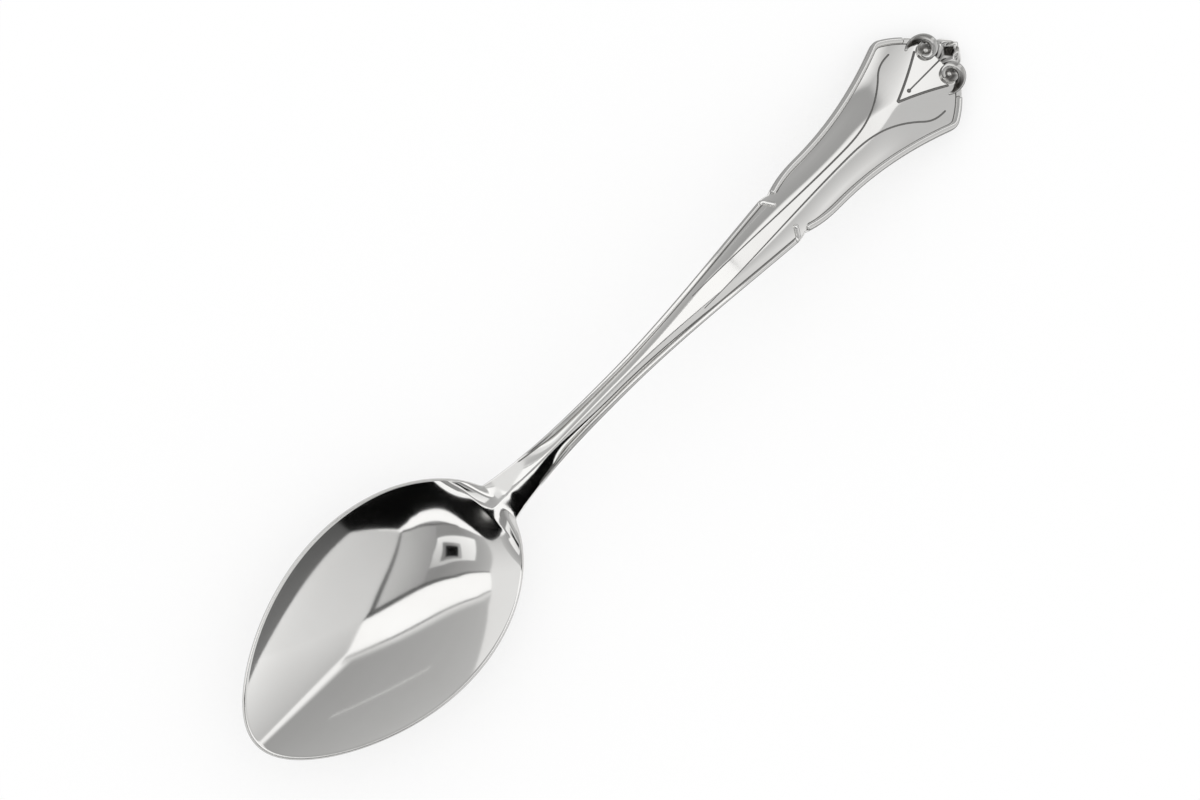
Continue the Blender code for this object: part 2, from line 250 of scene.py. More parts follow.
# Places along the spoon, from the tip of the bowl
STEM_AT = BOWL_LENGTH + NECK_LENGTH
NOTCH_AT = STEM_AT + LOWER_PANEL_LENGTH
PLATE_END = NOTCH_AT + UPPER_PANEL_LENGTH
OVERALL_LENGTH = PLATE_END + BUD_OVERHANG
JOINT_AT = BOWL_LENGTH + LAP_PAST_BOWL
SEAT_START = JOINT_AT + THREAD_FROM_JOINT
THREAD_START = SEAT_START + THREAD_POINT / 2 + SOLDER_GAP
HEEL_AT = BOWL_LENGTH - HEEL_SETBACK
RIM_FALL_END = BOWL_LENGTH - RIM_EASE
WAIST_AT = NOTCH_AT + PANEL_SHOULDER
FLARE_AT = PLATE_END - FLARE_SETBACK
ARCH_AT = BOWL_LENGTH + ARCH_FROM_BOWL
NECK_SLOPE = ARCH_POWER * (ARCH_HEIGHT - NECK_HEIGHT) / (ARCH_AT - JOINT_AT)
SCROLL_AT = PLATE_END - SCROLL_SETBACK
BUD_START = OVERALL_LENGTH - BUD_LENGTH
BUD_TIP = OVERALL_LENGTH - BUD_TIP_SETBACK
EGG_MIDDLE = BOWL_LENGTH / 2


def hermite(at, start, end, value, end_value, slope, end_slope):
    """Cubic from one place to another with the given values and slopes."""
    span = end - start
    t = (at - start) / span
    return (
        (2 * t**3 - 3 * t**2 + 1) * value
        + (t**3 - 2 * t**2 + t) * span * slope
        + (3 * t**2 - 2 * t**3) * end_value
        + (t**3 - t**2) * span * end_slope
    )


def blend(at, start, end, value, end_value):
    """Eases from one value to another and holds them outside the stretch."""
    t = min(max((at - start) / (end - start), 0.0), 1.0)
    return value + (end_value - value) * t * t * (3 - 2 * t)


def soft_max(a, b, fillet):
    """The larger of two curves with a rounded crossing."""
    overlap = max(fillet - abs(a - b), 0.0)
    return max(a, b) + overlap * overlap / (4 * fillet)


def soft_min(a, b, fillet):
    """The smaller of two curves with a rounded crossing."""
    return -soft_max(-a, -b, fillet)


def spread(start, end, count):
    """Evenly placed values from start to end, both included."""
    return [start + (end - start) * i / count for i in range(count + 1)]


def egg_fullness(lean):
    """How full the egg is against an even oval, with lean from 1 at the tip to -1 at the heel."""
    return 1 - EGG_LEAN * lean - EGG_FULLNESS * lean * lean


EGG_WIDEST = max(
    math.sqrt(1 - lean * lean) * egg_fullness(lean) for lean in spread(-1.0, 1.0, 1000)
)


def egg(at):
    """Half width of the bowl's own outline."""
    lean = min(max(1 - 2 * at / BOWL_LENGTH, -1.0), 1.0)
    return BOWL_WIDTH / 2 * math.sqrt(1 - lean * lean) * egg_fullness(lean) / EGG_WIDEST


def neck(at):
    """Half width of the stem where it spreads into the bowl."""
    left = max((STEM_AT - at) / NECK_LENGTH, 0.0)
    return STEM_WIDTH / 2 + (NECK_WIDTH - STEM_WIDTH) / 2 * left**NECK_POWER


def lower_panel(at):
    """Half width from the narrowest stem to the notch, rounded off at the notch."""
    stem = STEM_WIDTH / 2
    panel = LOWER_PANEL_WIDTH / 2
    near = max((at - NOTCH_AT + NOTCH_ROUND) / NOTCH_ROUND, 0.0)
    rounded = (LOWER_PANEL_WIDTH - NOTCH_WIDTH) / 2 * near**NOTCH_POWER
    return hermite(at, STEM_AT, NOTCH_AT, stem, panel, 0.0, LOWER_PANEL_SLOPE) - rounded


def flare(at):
    """How far the side has spread past the waist of the upper panel."""
    from_waist = max((at - WAIST_AT) / (FLARE_AT - WAIST_AT), 0.0)
    return (FLARE_WIDTH - UPPER_PANEL_WIDTH) / 2 * from_waist**2


def upper_panel(at):
    """Half width from the notch: a round shoulder, a waist, a flare and the rounded end."""
    to_waist = max((WAIST_AT - at) / PANEL_SHOULDER, 0.0)
    rounded = (UPPER_PANEL_WIDTH - NOTCH_WIDTH) / 2 * to_waist**SHOULDER_POWER
    side = UPPER_PANEL_WIDTH / 2 - rounded + flare(at)
    along = min(max((at - PLATE_END + END_ROUND) / END_ROUND, 0.0), 1.0)
    end = END_WIDTH / 2 * (1 - along**END_POWER) ** (1 / END_POWER)
    return max(soft_min(side, end, CORNER_FILLET), 0.0) if along < 1 else 0.0


def half_width(at):
    """Half width of the whole outline at a distance from the tip of the bowl."""
    if at <= STEM_AT:
        return soft_max(egg(at), neck(at), SHOULDER_FILLET) if at > HEEL_AT else egg(at)
    return lower_panel(at) if at <= NOTCH_AT else upper_panel(at)


def inset(at, distance):
    """Half width of the outline drawn in by a distance, below zero where nothing is left."""
    least = half_width(at) - distance
    for step in range(-INSET_STEPS, INSET_STEPS + 1):
        shift = distance * math.sin(step / INSET_STEPS * math.pi / 2)
        place = at + shift
        here = half_width(place) if place < PLATE_END else 0.0
        least = min(least, here - math.sqrt(max(distance**2 - shift**2, 0.0)))
    return least


def bowl_depth(at):
    """How far the middle lies below the rim: deep in the bowl, below zero on the crowned neck."""
    if at < DEEPEST_AT:
        return BOWL_DEPTH * (1 - ((DEEPEST_AT - at) / DEEPEST_AT) ** 2)
    near_heel = (at - DEEPEST_AT) / (HEEL_AT - DEEPEST_AT)
    even = ((HEEL_AT - DEEPEST_AT) / DEEPEST_AT) ** 2
    curved = min(near_heel, HEEL_BREAK)
    rise = even * curved**2 + (1 - even) * curved**HEEL_POWER
    steepest = 2 * even * curved + (1 - even) * HEEL_POWER * curved ** (HEEL_POWER - 1)
    rise += steepest * (near_heel - curved)
    return soft_max(BOWL_DEPTH * (1 - rise), -NECK_CROWN, HEEL_FILLET)


def edge_height(at):
    """Height of the upper edge line: the rim of the bowl, then the arched edge of the handle."""
    rim = BOWL_DEPTH + BOWL_WALL - REST_FLAT
    rim_end = rim - RIM_FALL * (RIM_FALL_END - DEEPEST_AT)
    if at <= RIM_FALL_END:
        return rim - RIM_FALL * (at - DEEPEST_AT)
    if at <= JOINT_AT:
        return hermite(at, RIM_FALL_END, JOINT_AT, rim_end, NECK_HEIGHT, -RIM_FALL, NECK_SLOPE)
    if at <= ARCH_AT:
        left = (ARCH_AT - at) / (ARCH_AT - JOINT_AT)
        return ARCH_HEIGHT - (ARCH_HEIGHT - NECK_HEIGHT) * left**ARCH_POWER
    return hermite(at, ARCH_AT, PLATE_END, ARCH_HEIGHT, END_THICKNESS - REST_FLAT, 0.0, END_SLOPE)


def crown(at):
    """Rise of the handle's middle above its edge line."""
    if at <= STEM_AT:
        return blend(at, JOINT_AT, STEM_AT, NECK_CROWN, STEM_CROWN)
    if at <= NOTCH_AT:
        return blend(at, STEM_AT, NOTCH_AT, STEM_CROWN, PANEL_CROWN)
    return blend(at, NOTCH_AT, PLATE_END, PANEL_CROWN, END_CROWN)


def crown_reach(at):
    """Half width over which the crown falls to the edge line inside the threads, smooth past the notch."""
    drawn_in = blend(at, SEAT_START, SEAT_START + THREAD_TAPER, 0.0, LOWER_THREAD)
    if at <= STEM_AT:
        return neck(at) - drawn_in
    if at <= WAIST_AT:
        stem = STEM_WIDTH / 2
        waist = UPPER_PANEL_WIDTH / 2
        return hermite(at, STEM_AT, WAIST_AT, stem, waist, 0.0, 0.0) - drawn_in
    return UPPER_PANEL_WIDTH / 2 + flare(at) - drawn_in


def rib(at):
    """Half width of the flat rib down the middle of the handle, which flares into the crest field."""
    if at <= RIB_WAIST_AT:
        return blend(at, RIB_START, RIB_WAIST_AT, RIB_START_HALF, RIB_WAIST_HALF)
    slope = RIB_FLARE_SLOPE
    if at <= RIB_FLARE_AT:
        return hermite(at, RIB_WAIST_AT, RIB_FLARE_AT, RIB_WAIST_HALF, RIB_FLARE_HALF, 0.0, slope)
    near = min(at, RIB_END)
    return hermite(near, RIB_FLARE_AT, RIB_END, RIB_FLARE_HALF, RIB_END_HALF, slope, 0.0)


def fan(at):
    """Half width of the fan on the crest field, nothing before its point."""
    out = max(at - FAN_START, 0.0)
    return out * FAN_SPREAD + out * out * FAN_CURVE


def thickness(at):
    """Thickness of the handle below its edge line."""
    if at <= NOTCH_AT:
        return blend(at, STEM_AT, NOTCH_AT, STEM_THICKNESS, PANEL_THICKNESS)
    return blend(at, NOTCH_AT, PLATE_END, PANEL_THICKNESS, END_THICKNESS)


def face_height(at, side, hollow):
    """Height of the upper face, with hollow the share of the bowl's depth at this place."""
    if at <= JOINT_AT:
        depth = bowl_depth(at)
        ridge = 1 - math.sqrt(max(1 - hollow, 0.0)) ** RIDGE_POWER
        return edge_height(at) - depth * (hollow if depth > 0 else ridge)
    flat = rib(at) * blend(at, RIDGE_END, PANEL_POWER_AT, 0.0, RIB_FLAT_SHARE)
    flat += (max(fan(at), FIELD_FLAT) - flat) * blend(at, FIELD_START, FIELD_END, 0.0, 1.0)
    share = min(max(abs(side) - flat, 0.0) / (crown_reach(at) - flat), 1.0)
    narrowed = max(soft_min(share / PANEL_SHARE, 1.0, PANEL_EASE), 0.0)
    share += (narrowed - share) * blend(at, NOTCH_AT, WAIST_AT, 0.0, 1.0)
    power = blend(at, JOINT_AT, RIDGE_END, RIDGE_POWER, 2.0)
    power += blend(at, RIDGE_END, PANEL_POWER_AT, 0.0, PANEL_POWER - 2.0)
    power += blend(at, FIELD_START, FIELD_END, 0.0, FIELD_POWER - PANEL_POWER)
    ease = blend(at, FIELD_START, FIELD_END, 1.0, FIELD_SHARE)
    return edge_height(at) + crown(at) * (1 - share**power) * ease


def tongue_depth(at, side):
    """How far the tongue of the handle stands out under the bowl."""
    back = (JOINT_AT - at) / TONGUE_LENGTH
    room = 1 - back * back - (side / half_width(JOINT_AT)) ** 2
    return TONGUE_TIP * blend(room, 0.0, TONGUE_EASE, 0.0, 1.0)


def back_height(at, side, hollow):
    """Height of the under face: the bowl's back, the tongue on it and the back of the handle."""
    handle_back = edge_height(at) - thickness(at) + BACK_ROUND * (1 - hollow) ** 2
    if at >= JOINT_AT:
        return max(handle_back, 0.0)
    wall = BOWL_WALL - RIM_THICKNESS
    depth = bowl_depth(at) + wall
    bowl_back = edge_height(at) - RIM_THICKNESS - depth * hollow - tongue_depth(at, side)
    share = blend(at, JOINT_AT - TONGUE_BLEND, JOINT_AT, 0.0, 1.0)
    return max(bowl_back + (handle_back - bowl_back) * share, 0.0)


def edge_round(at):
    """How far the rounded edge stands out from the upper face."""
    return blend(at, HEEL_AT, SEAT_START, RIM_ROUND, EDGE_ROUND)


def stations():
    """Places of the rows from the middle of the bowl to the end of the plate."""
    rows = spread(EGG_MIDDLE, HEEL_AT, HOLLOW_ROWS)
    rows += spread(HEEL_AT, JOINT_AT, HEEL_ROWS)[1:]
    rows += spread(JOINT_AT, NOTCH_AT - NOTCH_ROUND, STEM_ROWS)[1:]
    rows += spread(NOTCH_AT - NOTCH_ROUND, NOTCH_AT, NOTCH_ROWS)[1:]
    rows += spread(NOTCH_AT, NOTCH_AT + NOTCH_ROUND, NOTCH_ROWS)[1:]
    rows += spread(NOTCH_AT + NOTCH_ROUND, PLATE_END - END_ROUND, PANEL_ROWS)[1:]
    for turn in spread(0.0, END_TURN, END_ROWS)[1:]:
        rows.append(PLATE_END - END_ROUND + END_ROUND * math.sin(turn))
    return rows


def placed(at, side, height):
    """A point of the spoon in the frame, from its distance along the spoon."""
    return Vector((at - OVERALL_LENGTH / 2, side, height))


def sheet(mesh, along, height):
    """One face of the spoon: a fan over the tip half of the bowl, then rows to the end of the handle."""
    tip = bmesh.ops.create_grid(mesh, x_segments=TURNS, y_segments=SPOKES, size=0.5)["verts"]
    for vert in tip:
        turn = vert.co.x * math.pi
        reach = vert.co.y + 0.5
        lean = reach * math.cos(turn)
        at = max(EGG_MIDDLE * (1 - lean), LEAST_AT)
        place = EGG_MIDDLE - (EGG_MIDDLE - RIM_ROUND) * lean
        wide = BOWL_WIDTH / 2 * egg_fullness(lean) / EGG_WIDEST - RIM_ROUND
        tip_lean = 1 - at / EGG_MIDDLE
        hollow = (1 - reach * reach) / (1 - tip_lean * tip_lean)
        side = wide * reach * math.sin(turn)
        vert[along] = at
        vert.co = placed(place, side, height(at, side, min(hollow, 1.0)))
    rows = stations()
    last = len(rows) - 1
    strip = bmesh.ops.create_grid(mesh, x_segments=last, y_segments=2 * SPOKES, size=0.5)["verts"]
    for vert in strip:
        at = rows[round((vert.co.x + 0.5) * last)]
        across = vert.co.y * 2
        side = across * max(half_width(at) - edge_round(at), LEAST_HALF)
        vert[along] = at
        vert.co = placed(at, side, height(at, side, 1 - across * across))
    bmesh.ops.remove_doubles(mesh, verts=tip + strip, dist=SHEET_MERGE)


def finished(name, mesh):
    """Puts a bmesh into the scene as a smooth-shaded object."""
    data = bpy.data.meshes.new(name)
    mesh.to_mesh(data)
    mesh.free()
    data.shade_smooth()
    piece = bpy.data.objects.new(name, data)
    bpy.context.scene.collection.objects.link(piece)
    return piece


def boundary(mesh):
    """The open edges of a mesh."""
    return [edge for edge in mesh.edges if edge.is_boundary]


def outward(mesh):
    """Level direction out of the outline at each vertex of a sheet's boundary."""
    found = {}
    for vert in {vert for edge in boundary(mesh) for vert in edge.verts}:
        facing = Vector((0.0, 0.0, 0.0))
        for edge in vert.link_edges:
            if edge.is_boundary:
                run = edge.verts[1].co - edge.verts[0].co
                normal = Vector((run.y, -run.x, 0.0))
                inside = edge.link_faces[0].calc_center_median() - edge.verts[0].co
                facing += normal if normal.dot(inside) < 0 else -normal
        found[vert] = facing.normalized()
    return found


def spoon_skin():
    """The whole spoon as one skin: upper face, rounded edge and under face."""
    mesh = bmesh.new()
    along = mesh.verts.layers.float.new("along")
    painted_shade = mesh.verts.layers.float.new("painted_shade")
    sheet(mesh, along, face_height)
    edge = {}
    for vert, facing in outward(mesh).items():
        at = vert[along]
        edge[vert] = (vert.co.copy(), facing, back_height(at, vert.co.y, 0.0), edge_round(at))
    for step in spread(0.0, math.pi, EDGE_STEPS)[1:]:
        new = bmesh.ops.extrude_edge_only(mesh, edges=boundary(mesh))["geom"]
        ring = {}
        for vert in [item for item in new if isinstance(item, bmesh.types.BMVert)]:
            beside = [link.other_vert(vert) for link in vert.link_edges]
            ring[vert] = next(edge[other] for other in beside if other in edge)
            start, facing, low, reach = ring[vert]
            vert.co = start + facing * reach * math.sin(step)
            vert.co.z = start.z + (low - start.z) * (1 - math.cos(step)) / 2
            # painted dark reflection: the rounded edge darkens from near its top to its outermost point and
            # stays dark down to the under face
            vert[painted_shade] = blend(step, math.pi / EDGE_STEPS, math.pi / 2, 0.0, EDGE_SHADE)
        edge = ring
    under = bmesh.new()
    sheet(under, under.verts.layers.float.new("along"), back_height)
    part = bpy.data.meshes.new("under")
    under.to_mesh(part)
    mesh.from_mesh(part)
    under.free()
    bpy.data.meshes.remove(part)
    bmesh.ops.remove_doubles(mesh, verts=mesh.verts, dist=SKIN_MERGE)
    bmesh.ops.recalc_face_normals(mesh, faces=mesh.faces)
    return mesh


def split_skin(skin, name, keep):
    """The part of the skin on one side of the joint, closed, with the whole skin's smooth normals."""
    mesh = skin.copy()
    along = mesh.verts.layers.float["along"]
    smooth = mesh.verts.layers.float_vector.new("smooth")
    mesh.normal_update()
    for vert in mesh.verts:
        vert[smooth] = vert.normal
    other = []
    for face in mesh.faces:
        middle = sum(vert[along] for vert in face.verts) / len(face.verts)
        if not keep(middle):
            other.append(face)
    bmesh.ops.delete(mesh, geom=other, context="FACES")
    bmesh.ops.holes_fill(mesh, edges=boundary(mesh))
    piece = finished(name, mesh)
    data = piece.data
    normals = [tuple(value.vector) for value in data.attributes["smooth"].data]
    data.normals_split_custom_set_from_vertices(normals)
    data.attributes.remove(data.attributes["smooth"])
    data.attributes.remove(data.attributes["along"])
    return piece


def seated(at, side, radius):
    """A point of a bead's centre line, sunk in the edge of the handle as deep as its seat."""
    return (at, side, edge_height(at) - SEAT_DEPTH + SOLDER_GAP + radius, radius)


def perched(at, side, radius):
    """A point of a bead's centre line that lies on the face where the face is above the seat."""
    low = seated(at, side, radius)
    return (at, side, max(low[2], face_height(at, side, 0.0)), radius)


def rounded_ends(path):
    """Draws in the radius at both ends of a bead so that they close as half balls."""
    done = []
    for at, side, height, radius in path:
        start = math.dist((at, side, height), path[0][:3])
        end = math.dist((at, side, height), path[-1][:3])
        near = min(min(start, end) / radius, 1.0)
        done.append((at, side, height, radius * max(math.sqrt(1 - (1 - near) ** 2), LEAST_END)))
    return done


def lower_thread_path():
    """Centre line and radius of a lower thread on the +Y side, hooked inwards at the notch."""
    radius = LOWER_THREAD / 2
    point = THREAD_POINT / 2
    hook_at = NOTCH_AT - radius - HOOK_RADIUS * math.sin(HOOK_TURN) - HOOK_RUN * math.cos(HOOK_TURN)
    path = []
    for at in spread(THREAD_START, hook_at, THREAD_POINTS):
        here = point + (radius - point) * min((at - THREAD_START) / THREAD_TAPER, 1.0)
        path.append(seated(at, inset(at, here), here))
    side = path[-1][1]
    for turn in spread(0.0, HOOK_TURN, HOOK_POINTS)[1:]:
        at = hook_at + HOOK_RADIUS * math.sin(turn)
        path.append(perched(at, side - HOOK_RADIUS * (1 - math.cos(turn)), radius))
    start, out = path[-1][:2]
    for run in spread(0.0, HOOK_RUN, HOOK_POINTS)[1:]:
        at = start + run * math.cos(HOOK_TURN)
        path.append(perched(at, out - run * math.sin(HOOK_TURN), radius))
    return path


def scroll_path():
    """Centre line and radius of a scroll on the +Y side, from its thin tail to its eye."""
    path = []
    thinner = (SCROLL_CURL - SCROLL_WIRE) / 2
    for t in spread(0.0, SCROLL_CURL_SHARE, SCROLL_POINTS):
        radius = blend(t, 0.0, SCROLL_LEAF_SHARE, SCROLL_TAIL / 2, SCROLL_WIRE / 2)
        radius += blend(t, SCROLL_TAIL_SHARE, SCROLL_CURL_SHARE, 0.0, thinner)
        reach = SCROLL_RADIUS * (SCROLL_EYE / SCROLL_RADIUS) ** t - radius
        turn = SCROLL_START - SCROLL_SWEEP * t
        at = SCROLL_AT + reach * math.cos(turn)
        side = SCROLL_OFFSET + reach * math.sin(turn)
        low = perched(at, side, radius)
        rim = dish_height(reach) * blend(t, 0.0, SCROLL_TAIL_SHARE, SCROLL_TAIL_RISE, 1.0)
        path.append((at, side, max(low[2], rim), radius))
    return path


def dish_height(reach):
    """Height of the hollowed web inside a scroll, rising from its eye to its rim."""
    share = min(reach / (DISH_WIDTH / 2), 1.0)
    return face_height(SCROLL_AT, SCROLL_OFFSET, 0.0) + DISH_DEPTH * share * share


def fan_path():
    """Raised line at the fan's edge on the +Y side, from the middle of the handle to the scroll."""
    path = []
    for at in spread(FAN_START, FAN_END, FAN_POINTS):
        path.append((at, fan(at), face_height(at, fan(at), 0.0), FAN_LINE / 2))
    return path


def rib_path():
    """Line along one side of the rib on the +Y side, from a fine start to the corner of the crest."""
    path = []
    for at in spread(RIB_START, RIB_END, RIB_POINTS):
        radius = blend(at, RIB_START, RIB_WAIST_AT, RIB_LINE_START / 2, RIB_LINE / 2)
        path.append((at, rib(at), face_height(at, rib(at), 0.0), radius))
    return path


def vein_path():
    """Fine line on the middle of the crest field with a drop at its end."""
    path = []
    for at in spread(VEIN_START, BUD_START, VEIN_POINTS):
        drop = max(1 - ((at - VEIN_START - VEIN_DROP / 2) / (VEIN_DROP / 2)) ** 2, 0.0)
        radius = max(VEIN_LINE / 2, VEIN_DROP / 2 * math.sqrt(drop))
        path.append((at, 0.0, face_height(at, 0.0, 0.0), radius))
    return path


def upper_thread_path():
    """Centre line and radius of an upper thread on the +Y side, from the notch round to the scroll."""
    radius = UPPER_THREAD / 2
    scroll = scroll_path()
    start = NOTCH_AT + radius
    path = []
    for t in spread(0.0, math.pi / 2, UPPER_THREAD_POINTS):
        at = start + (PLATE_END - start) * math.sin(t)
        side = inset(at, radius)
        near = min(math.dist((at, side), point[:2]) - point[3] for point in scroll)
        if near < radius:
            break
        path.append(seated(at, side, radius))
    return path


def thread_line_path(path):
    """Fine line with painted shade in the corner between a thread and the face, along the thread's path."""
    line = []
    for at, side, height, radius in path:
        inner = inset(at, 2 * radius) if side > 0 else 0.0
        if inner > THREAD_LINE:
            line.append((at, inner, face_height(at, inner, 0.0), THREAD_LINE / 2))
    return line


def lower_line_path():
    """The line inside a lower thread, which leaves out the thread's hook."""
    return thread_line_path([p for p in lower_thread_path() if p[1] > half_width(p[0]) - LOWER_THREAD])


def upper_line_path():
    """The line inside an upper thread, from just past the notch."""
    return thread_line_path([p for p in upper_thread_path() if p[0] > NOTCH_AT + UPPER_THREAD])


def bead(name, path, mirror):
    """A round bead along a path of places, sides, heights and radii."""
    curve = bpy.data.curves.new(name, "CURVE")
    curve.dimensions = "3D"
    curve.bevel_depth = 1.0
    curve.bevel_resolution = BEAD_RESOLUTION
    curve.use_fill_caps = True
    line = curve.splines.new("POLY")
    line.points.add(len(path) - 1)
    for point, (at, side, height, radius) in zip(line.points, rounded_ends(path)):
        point.co = (at - OVERALL_LENGTH / 2, side * mirror, height, 1.0)
        point.radius = radius
    line.use_smooth = True
    piece = bpy.data.objects.new(name, curve)
    bpy.context.scene.collection.objects.link(piece)
    return piece


def flank_shade(turn):
    """Painted dark reflection round a band: bright on its flat top, dark down its outer flank."""
    return blend(math.cos(turn), FLANK_START, FLANK_END, 0.0, FLANK_SHADE)


def leaf_shade(share, turn):
    """Painted shade round a scroll at a share of its length: black in the hollow leaf, fading into the curl.
    """
    hollow = blend(math.cos(turn), LEAF_BRIM_START, LEAF_BRIM_END, 1.0, 0.0)
    hollow *= blend(share, 0.0, LEAF_DARK_START, 0.0, 1.0)
    fade = blend(share, LEAF_DARK_END, LEAF_FADE_END, 1.0, LEAF_FADED)
    fade -= blend(share, LEAF_FADE_END, CURL_FADE_END, 0.0, CURL_FADE)
    return max(hollow * fade, flank_shade(turn))


def squared(value):
    """Draws a sine or cosine out towards a square, which gives a band its flat top."""
    return math.copysign(abs(value) ** THREAD_SQUARE, value)


def band(name, path, mirror, leaf=False):
    """A flat-topped band along a path of places, sides, heights and half widths.

    A leaf gets the painted shade of a scroll, any other band the painted dark reflection of a thread.
    """
    path = rounded_ends(path)
    turns = spread(0.0, 2 * math.pi, BAND_SIDES)[:-1]
    rings = []
    tones = []
    for i, (at, side, height, half) in enumerate(path):
        before = path[max(i - 1, 0)]
        after = path[min(i + 1, len(path) - 1)]
        run = Vector((after[0] - before[0], after[1] - before[1])).normalized()
        ring = []
        for turn in turns:
            out = half * squared(math.cos(turn))
            rise = half * squared(math.sin(turn))
            ring.append((at - run.y * out, (side + run.x * out) * mirror, height + rise))
        rings.append(ring)
        share = i / len(path)
        tones.append([leaf_shade(share, turn) if leaf else flank_shade(turn) for turn in turns])
    mesh = bmesh.new()
    mesh.verts.layers.float.new("painted_shade")
    wrapped(mesh, rings, tones)
    return finished(name, mesh)


def scroll_eye(name, mirror):
    """Hollowed web inside a scroll with a low dome in the middle of its curl."""
    middle = dish_height(0.0)
    side = SCROLL_OFFSET * mirror
    brim = DISH_WIDTH / 2
    profile = [(reach, dish_height(reach)) for reach in spread(LEAST_HALF, brim, DISH_RINGS)]
    for reach in spread(brim - DISH_WALL, LEAST_HALF, DISH_WALL_RINGS):
        profile.append((reach, middle - DISH_WALL))
    turns = spread(0.0, 2 * math.pi, DISH_SIDES)[:-1]
    rings = []
    for reach, height in profile:
        ring = []
        for turn in turns:
            ring.append((SCROLL_AT + reach * math.cos(turn), side + reach * math.sin(turn), height))
        rings.append(ring)
    mesh = bmesh.new()
    painted_shade = mesh.verts.layers.float.new("painted_shade")
    wrapped(mesh, rings)
    place = Matrix.Translation(placed(SCROLL_AT, side, middle))
    # painted shade: the hollowed web is dark in the middle and lighter towards its brim
    for vert in mesh.verts:
        reach = (vert.co - place.translation).to_2d().length
        vert[painted_shade] = blend(reach, brim / 2, brim, WEB_SHADE, WEB_BRIM_SHADE)
    size = Matrix.Diagonal((EYE_WIDTH / 2, EYE_WIDTH / 2, EYE_HEIGHT, 1.0))
    bmesh.ops.create_uvsphere(
        mesh, u_segments=EYE_SIDES, v_segments=EYE_RINGS, radius=1.0, matrix=place @ size
    )
    return finished(name, mesh)


def wrapped(mesh, rings, tones=None):
    """A closed skin through rings of equal count, with a painted-shade tone for each of their points."""
    painted_shade = mesh.verts.layers.float["painted_shade"]
    rows = len(rings)
    columns = len(rings[0])
    bmesh.ops.create_grid(mesh, x_segments=rows - 1, y_segments=columns, size=0.5)
    for vert in mesh.verts:
        row = round((vert.co.x + 0.5) * (rows - 1))
        column = round((vert.co.y + 0.5) * columns) % columns
        vert.co = placed(*rings[row][column])
        vert[painted_shade] = tones[row][column] if tones else 0.0
    bmesh.ops.remove_doubles(mesh, verts=mesh.verts, dist=SKIN_MERGE)
    bmesh.ops.holes_fill(mesh, edges=mesh.edges)
    bmesh.ops.recalc_face_normals(mesh, faces=mesh.faces)


def bud_half(at):
    """Half width of the bud."""
    to_tip = min((BUD_TIP - at) / BUD_HEAD, 1.0)
    spread_out = blend(at, BUD_START, BUD_TIP - BUD_HEAD, BUD_FOOT_WIDTH / 2, BUD_WIDTH / 2)
    return spread_out * math.sin(to_tip * math.pi / 2)


def bud_groove(across):
    """Depth of the grooves between the bud's lobes, from 0 on a lobe to 1 in a groove."""
    return 1 - abs(math.cos(across * math.pi * BUD_LOBES / 2))


def crest_bud():
    """Lobed bud that spreads from a slim foot between the scrolls to its pointed head."""
    rings = []
    length = BUD_TIP - BUD_START
    for turn in spread(BUD_FOOT_TURN, BUD_TIP_TURN, BUD_RINGS):
        along = (1 - math.cos(turn)) / 2
        at = BUD_START + length * along
        foot = edge_height(at) - SEAT_DEPTH + SOLDER_GAP
        rise = blend(along, BUD_RISE_START, BUD_RISE_END, BUD_FOOT_HEIGHT, BUD_HEIGHT)
        rise += blend(along, BUD_FALL_START, 1.0, 0.0, BUD_TIP_HEIGHT - BUD_HEIGHT)
        front, under = [], []
        for across in spread(-1.0, 1.0, BUD_SPOKES):
            side = bud_half(at) * across
            dome = math.sqrt(max(1 - across * across, 0.0)) * (1 - LOBE_DEPTH * bud_groove(across))
            front.append((at, side, foot + BUD_EDGE + (rise - BUD_EDGE) * dome))
            under.append((at, side, foot))
        rings.append(front + under[::-1])
    mesh = bmesh.new()
    painted_shade = mesh.verts.layers.float.new("painted_shade")
    wrapped(mesh, rings)
    # painted shade in the grooves between the lobes and at the foot, and a painted dark reflection on a
    # diamond facet where the head is widest
    for vert in mesh.verts:
        at = vert.co.x + OVERALL_LENGTH / 2
        out = abs(vert.co.y)
        groove = BUD_GROOVE_SHADE * bud_groove(min(out / bud_half(at), 1.0))
        facet = 1 - abs(at - BUD_TIP + BUD_HEAD) / (BUD_HEAD / 2) - out / (BUD_WIDTH / 4)
        foot = blend(at, BUD_START, BUD_TIP - BUD_HEAD, BUD_FOOT_SHADE, 0.0)
        vert[painted_shade] = max(groove, min(BUD_FACET_CRISPNESS * facet, 1.0), foot)
    return finished("bud", mesh)


# Finish of the silver and its painted shade
HAIRLINE_STRETCH = (60.0, 2600.0, 2600.0)
HAIRLINE_TURN = (0.0, 0.0, 0.12)
HAIRLINE_DETAIL = 3.0
HAIRLINE_STRENGTH = 0.05
HAIRLINE_DEPTH = 0.01 * MM
WEAR_SCALE = 140.0
WEAR_DETAIL = 4.0
BRIGHT_SILVER = (0.93, 0.925, 0.91, 1.0)
WORN_SILVER = (0.88, 0.87, 0.85, 1.0)
# near-black colour that the painted shade and painted dark reflections mix into the silver
PAINTED_SHADE_SILVER = (0.045, 0.042, 0.038, 1.0)
POLISHED_ROUGHNESS = 0.06
POLISHED_WEAR = 0.05
RELIEF_ROUGHNESS = 0.08
RELIEF_WEAR = 0.07
LINE_ROUGHNESS = 0.12
LINE_WEAR = 0.08
# even painted shade that darkens the raised lines
LINE_PAINTED_SHADE = 0.75


def new_node(nodes, kind, values=None, **settings):
    """A shader node with its settings, and then the values of its sockets."""
    node = nodes.new(kind)
    for name, setting in settings.items():
        setattr(node, name, setting)
    for socket, value in (values or {}).items():
        node.inputs[socket].default_value = value
    return node


